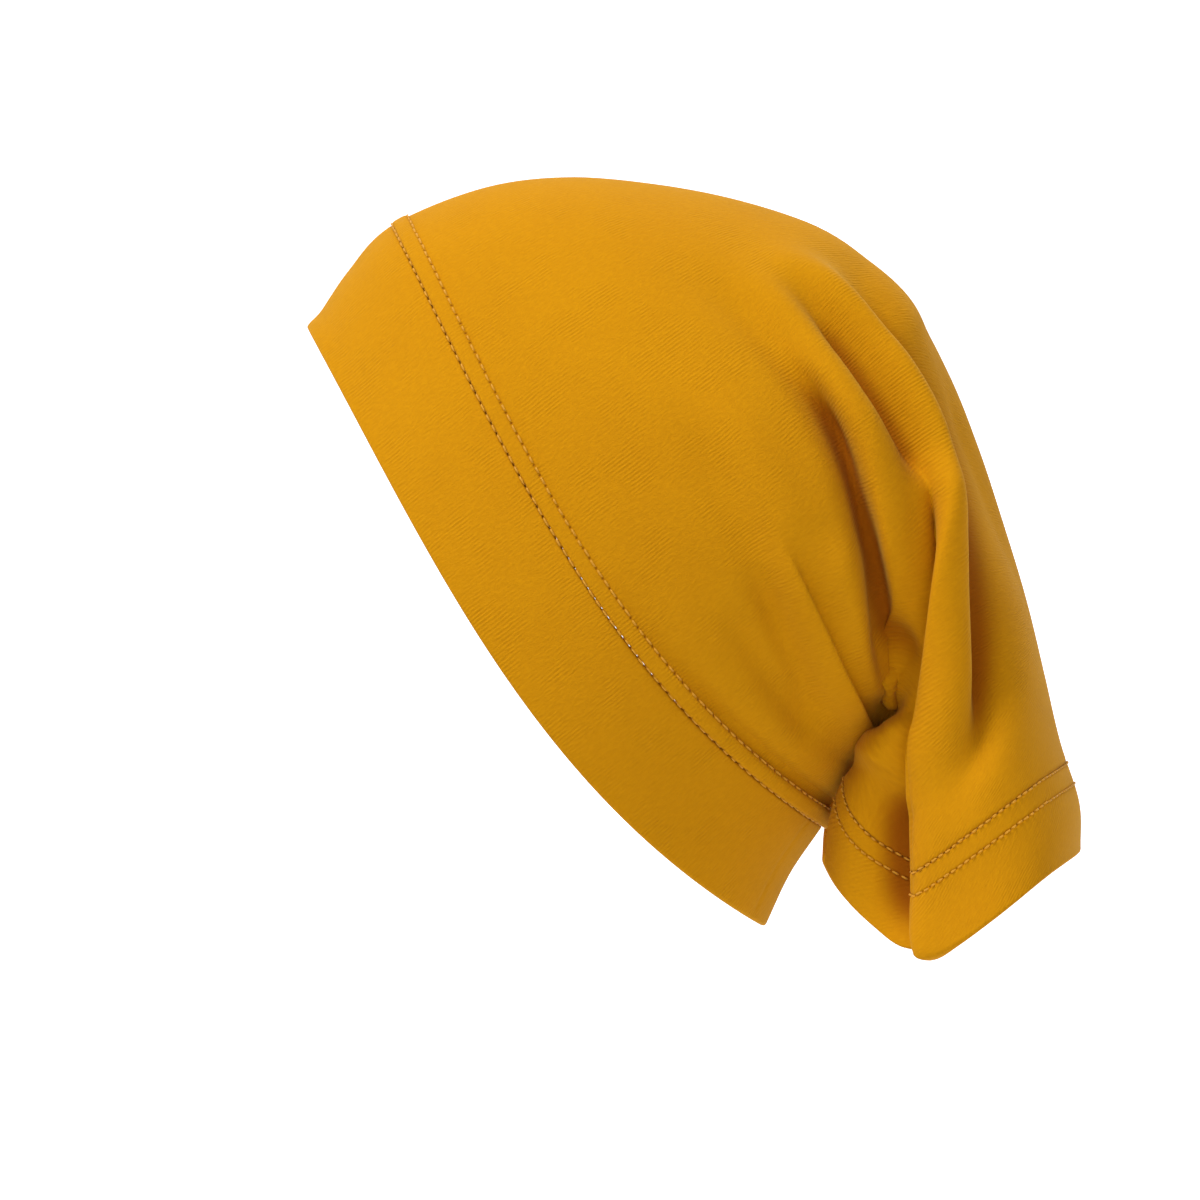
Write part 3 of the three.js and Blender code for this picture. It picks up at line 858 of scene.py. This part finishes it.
class Value:
    """A shader value that adds its Math nodes when it is used in a sum."""

    def __init__(self, graph, socket):
        self.graph = graph
        self.socket = socket

    def math(self, operation, *others):
        values = [self, *others]
        return self.graph.node("ShaderNodeMath", {"operation": operation}, dict(enumerate(values)))

    def __add__(self, other):
        return self.math("ADD", other)

    __radd__ = __add__

    def __sub__(self, other):
        return self.math("SUBTRACT", other)

    def __rsub__(self, other):
        return self.graph.node("ShaderNodeMath", {"operation": "SUBTRACT"}, {0: other, 1: self})

    def __mul__(self, other):
        return self.math("MULTIPLY", other)

    __rmul__ = __mul__

    def sine(self):
        return self.math("SINE")

    def share(self):
        return self.math("FRACT")

    def size(self):
        return self.math("ABSOLUTE")

    def above(self, low, high):
        """0 under low and 1 over high, smooth between; high may be the smaller one."""
        settings = {"interpolation_type": "SMOOTHSTEP"}
        flipped = low > high
        low, high = min(low, high), max(low, high)
        inputs = {"Value": self, "From Min": low, "From Max": high,
                  "To Min": 1.0 if flipped else 0.0, "To Max": 0.0 if flipped else 1.0}
        return self.graph.node("ShaderNodeMapRange", settings, inputs)


class Graph:
    """A material's nodes."""

    def __init__(self, name):
        self.material = bpy.data.materials.new(name)
        self.material.use_nodes = True
        self.tree = self.material.node_tree
        self.tree.nodes.clear()

    def node(self, kind, settings=None, inputs=None, output=0):
        node = self.tree.nodes.new(kind)
        for key, value in (settings or {}).items():
            setattr(node, key, value)
        for key, value in (inputs or {}).items():
            socket = node.inputs[key] if isinstance(key, int) else find_socket(node.inputs, key)
            if isinstance(value, Value):
                self.tree.links.new(value.socket, socket)
            else:
                socket.default_value = value
        found = node.outputs[output] if isinstance(output, int) else find_socket(node.outputs, output)
        return Value(self, found)

    def mix(self, share, first, second):
        inputs = {"Factor_Float": share, "A_Color": first, "B_Color": second}
        return self.node("ShaderNodeMix", {"data_type": "RGBA"}, inputs, "Result_Color")

    def vector(self, operation, *values):
        return self.node("ShaderNodeVectorMath", {"operation": operation}, dict(enumerate(values)))

    def noise(self, vector, scale, detail=2.0, roughness=0.5):
        inputs = {"Vector": vector, "Scale": scale, "Detail": detail, "Roughness": roughness}
        return self.node("ShaderNodeTexNoise", {}, inputs)

    def parts(self, vector):
        first = self.node("ShaderNodeSeparateXYZ", {}, {0: vector})
        outputs = first.socket.node.outputs
        return [Value(self, outputs[k]) for k in range(3)]

    def finish(self, **inputs):
        named = {key.replace("_", " "): value for key, value in inputs.items()}
        surface = self.node("ShaderNodeBsdfPrincipled", {}, named)
        end = self.tree.nodes.new("ShaderNodeOutputMaterial")
        self.tree.links.new(surface.socket, end.inputs["Surface"])
        return self.material


def tinted(colour, tint):
    """A colour of the cap, made darker, paler or redder."""
    return (*(c * t for c, t in zip(colour, tint)), 1.0)


def jersey_material(name):
    """Fine jersey: faint slanting ribs in patches, short flecks of yarn, soft fuzz, painted
    shade deep in the folds, and the needle holes and grooves of the stitch rows painted darker as shade."""
    g = Graph(name)
    colour = looks().jersey
    place = g.node("ShaderNodeTexCoord", {}, {}, "Object")
    cloth = g.node("ShaderNodeUVMap", {"uv_map": "Cloth"})
    turned = g.node("ShaderNodeMapping", {}, {"Vector": cloth, "Rotation": (0.0, 0.0, -RIB_SLANT)})
    along, distance, _ = g.parts(g.node("ShaderNodeUVMap", {"uv_map": "Rows"}))
    _, across, _ = g.parts(turned)
    waver = g.noise(turned, WAVER_SCALE)
    patches = g.noise(place, PATCH_SCALE, detail=3.0, roughness=0.6).above(PATCH_FROM, PATCH_TO)
    flecks = g.vector("MULTIPLY", turned, FLECK_SCALE)
    fleck = g.noise(flecks, 1.0, detail=2.0, roughness=0.55).above(FLECK_FROM, FLECK_TO)
    yarn = g.noise(g.vector("MULTIPLY", turned, YARN_SCALE), 1.0, detail=1.0, roughness=0.5)
    fuzz = g.noise(place, FUZZ_SCALE, detail=2.0, roughness=0.6)
    mottle = g.noise(place, MOTTLE_SCALE, detail=3.0, roughness=0.55)
    ribs = (across * (TURN / RIB_PITCH) + waver * RIB_WAVER).sine()
    hatch = ribs * (patches * (1 - PATCH_REST) + PATCH_REST)
    tone = (0.5 + (fleck - 0.5) * TONE["fleck"] + hatch * TONE["hatch"]
            + (mottle - 0.5) * TONE["mottle"] + (fuzz - 0.5) * TONE["fuzz"])
    dye_and_fold_shade = g.mix(tone, tinted(colour, DARK_TINT), tinted(colour, PALE_TINT))
    # Painted shade: the colour turns darker and redder where the folds sink the cloth
    sunk = g.node("ShaderNodeAttribute", {"attribute_name": "Sunk"}, {}, "Fac")
    dye_and_fold_shade = g.mix(sunk.above(PAINTED_SHADE_FROM, PAINTED_SHADE_TO), dye_and_fold_shade, tinted(colour, PAINTED_SHADE_TINT))
    # Painted shade in the needle holes and in the pressed groove beside each stitch row
    hole = ((along.share() - 0.5).size()).above(HOLE_FROM, HOLE_TO) * distance.above(HOLE_SIZE, 0.0)
    groove = distance.above(GROOVE_SIZE, 0.0)
    with_groove_shade = g.mix(groove * GROOVE_SHADE_SHARE, dye_and_fold_shade, tinted(colour, GROOVE_SHADE_TINT))
    with_hole_shade = g.mix(hole * HOLE_SHADE_SHARE, with_groove_shade, tinted(colour, HOLE_SHADE_TINT))
    height = (hatch * RELIEF["hatch"] + fleck * RELIEF["fleck"] + yarn * RELIEF["yarn"]
              + fuzz * RELIEF["fuzz"] + hole * RELIEF["hole"] + groove * RELIEF["groove"])
    normal = g.node("ShaderNodeBump", {}, {"Strength": 0.4, "Distance": KNIT_RELIEF, "Height": height})
    return g.finish(
        Base_Color=with_hole_shade, Roughness=0.92, Normal=normal, Sheen_Weight=0.12, Sheen_Roughness=0.45,
        Sheen_Tint=(1.0, 0.8, 0.2, 1.0), Specular_IOR_Level=0.1)


def thread_material():
    """Spun sewing thread with a fine twist."""
    g = Graph("sewing_thread")
    colour = looks().thread
    place = g.node("ShaderNodeTexCoord", {}, {}, "Object")
    twist = g.noise(place, TWIST_SCALE, detail=1.0)
    shade = g.mix(twist, tinted(colour, THREAD_DARK), tinted(colour, THREAD_PALE))
    normal = g.node("ShaderNodeBump", {}, {"Strength": 0.5, "Distance": 0.0001, "Height": twist})
    return g.finish(
        Base_Color=shade, Roughness=0.6, Normal=normal, Sheen_Weight=0.1, Specular_IOR_Level=0.3)


def dress(obj, material, slot, *nodes):
    """Gives a piece its material, its body and the nodes that it stands for; slot is not used."""
    obj.data.materials.append(material)
    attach(obj, "root")
    if nodes:
        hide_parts(*nodes)


class CAP_OT_band(bpy.types.Operator):
    """Makes the turned band round the face"""

    bl_idname = "cap.band"
    bl_label = "Band"

    def execute(self, context):
        band = make_band()
        dress(band, jersey_material("band_jersey"), "band_jersey", "front_band")
        return {"FINISHED"}


class CAP_OT_crown(bpy.types.Operator):
    """Makes the crown and tail with their folds"""

    bl_idname = "cap.crown"
    bl_label = "Crown"

    def execute(self, context):
        crown = make_crown()
        dress(crown, jersey_material("crown_jersey"), "crown_jersey", "crown")
        return {"FINISHED"}


class CAP_OT_hem(bpy.types.Operator):
    """Makes the turned hem of the tail"""

    bl_idname = "cap.hem"
    bl_label = "Hem"

    def execute(self, context):
        hem = make_hem()
        dress(hem, jersey_material("hem_jersey"), "hem_jersey", "tail_hem")
        return {"FINISHED"}


class CAP_OT_stitches(bpy.types.Operator):
    """Sews the stitch rows of the band and the hem"""

    bl_idname = "cap.stitches"
    bl_label = "Stitches"

    def execute(self, context):
        thread = thread_material()
        band = sew("band_stitches", ("band_low", "band_high"), BAND_LIFTS)
        dress(band, thread, "band_jersey")
        hem = sew("hem_stitches", ("hem_high", "hem_low"), HEM_LIFTS)
        dress(hem, thread, "hem_jersey")
        return {"FINISHED"}


def deselect_all():
    for obj in bpy.context.selected_objects:
        obj.select_set(False)
    bpy.context.view_layer.objects.active = None


def backdrop():
    """A pale floor that curves up all round into a low wall."""
    deselect_all()
    bpy.ops.mesh.primitive_circle_add(
        vertices=FLOOR_SIDES, radius=FLOOR_RADIUS, fill_type="NGON", location=(0.0, 0.0, FLOOR_LEVEL))
    floor = bpy.context.object
    floor.name = "backdrop"
    bpy.ops.object.mode_set(mode="EDIT")
    bpy.ops.mesh.select_all(action="SELECT")
    bpy.ops.mesh.region_to_loop()
    radius = FLOOR_RADIUS
    for k in range(COVE_STEPS):
        a, b = (math.pi / 2 * n / COVE_STEPS for n in (k, k + 1))
        wider = radius + COVE_RADIUS * (math.sin(b) - math.sin(a))
        higher = COVE_RADIUS * (math.cos(a) - math.cos(b))
        bpy.ops.mesh.extrude_region_move(TRANSFORM_OT_translate={"value": (0.0, 0.0, higher)})
        bpy.ops.transform.resize(value=(wider / radius, wider / radius, 1.0))
        radius = wider
    bpy.ops.mesh.extrude_region_move(TRANSFORM_OT_translate={"value": (0.0, 0.0, WALL_HEIGHT)})
    bpy.ops.object.mode_set(mode="OBJECT")
    bpy.ops.object.transform_apply(location=True, rotation=True, scale=True)
    floor.data.shade_smooth()
    g = Graph("backdrop")
    colour = (*looks().backdrop, 1.0)
    place = g.node("ShaderNodeTexCoord", {}, {}, "Object")
    behind = g.parts(place)[1].above(0.0, COVE_RADIUS)
    glow = g.mix(behind, (0.0, 0.0, 0.0, 1.0), colour)
    floor.data.materials.append(g.finish(
        Base_Color=colour, Roughness=1.0, Specular_IOR_Level=0.0, Emission_Color=glow,
        Emission_Strength=BACKDROP_GLOW))


def soft_light(name, place, size, power, colour):
    """A square lamp that faces the cap."""
    light = bpy.data.lights.new(name, "AREA")
    light.shape = "SQUARE"
    light.size = size
    light.energy = power
    light.color = colour
    obj = placed(name, light)
    obj.location = place
    obj.rotation_euler = (Vector(VIEW_CENTRE) - Vector(place)).to_track_quat("-Z", "Y").to_euler()


class CAP_OT_stage(bpy.types.Operator):
    """Sets up the backdrop, the lights and the camera"""

    bl_idname = "cap.stage"
    bl_label = "Stage"

    def execute(self, context):
        backdrop()
        world = bpy.data.worlds.new("studio")
        world.use_nodes = True
        sky = world.node_tree.nodes["Background"]
        sky.inputs["Color"].default_value = (1.0, 1.0, 1.0, 1.0)
        sky.inputs["Strength"].default_value = SKY_STRENGTH
        context.scene.world = world
        for row in LIGHTS:
            soft_light(*row)
        lens = bpy.data.cameras.new("camera")
        lens.sensor_width = SENSOR
        lens.lens = SENSOR * CAMERA_AWAY / FRAME_WIDTH
        lens.clip_start, lens.clip_end = NEAREST, FARTHEST
        camera = placed("camera", lens)
        camera.location = (VIEW_CENTRE[0], -CAMERA_AWAY, VIEW_CENTRE[2])
        camera.rotation_euler = (math.pi / 2, 0.0, 0.0)
        context.scene.camera = camera
        context.scene.view_settings.view_transform = "Standard"
        return {"FINISHED"}


class CAP_PT_panel(bpy.types.Panel):
    """Lists the pieces of the cap"""

    bl_idname = "CAP_PT_panel"
    bl_label = "Jersey Underscarf Cap"
    bl_space_type = "VIEW_3D"
    bl_region_type = "UI"
    bl_category = "Cap"

    def draw(self, context):
        for operator in OPERATORS:
            self.layout.operator(operator.bl_idname)
        for group in (context.scene.cap_sizes, context.scene.cap_looks):
            box = self.layout.box()
            for key in group.__annotations__:
                box.prop(group, key)


OPERATORS = (CAP_OT_stage, CAP_OT_band, CAP_OT_crown, CAP_OT_hem, CAP_OT_stitches)
CLASSES = (CapSizes, CapLooks, *OPERATORS, CAP_PT_panel)


def register():
    for cls in CLASSES:
        bpy.utils.register_class(cls)
    bpy.types.Scene.cap_sizes = PointerProperty(type=CapSizes)
    bpy.types.Scene.cap_looks = PointerProperty(type=CapLooks)


def unregister():
    del bpy.types.Scene.cap_looks
    del bpy.types.Scene.cap_sizes
    for cls in reversed(CLASSES):
        bpy.utils.unregister_class(cls)


def main():
    register()
    bpy.ops.cap.stage()
    bpy.ops.cap.band()
    bpy.ops.cap.crown()
    bpy.ops.cap.hem()
    bpy.ops.cap.stitches()


if __name__ == "__main__":
    main()
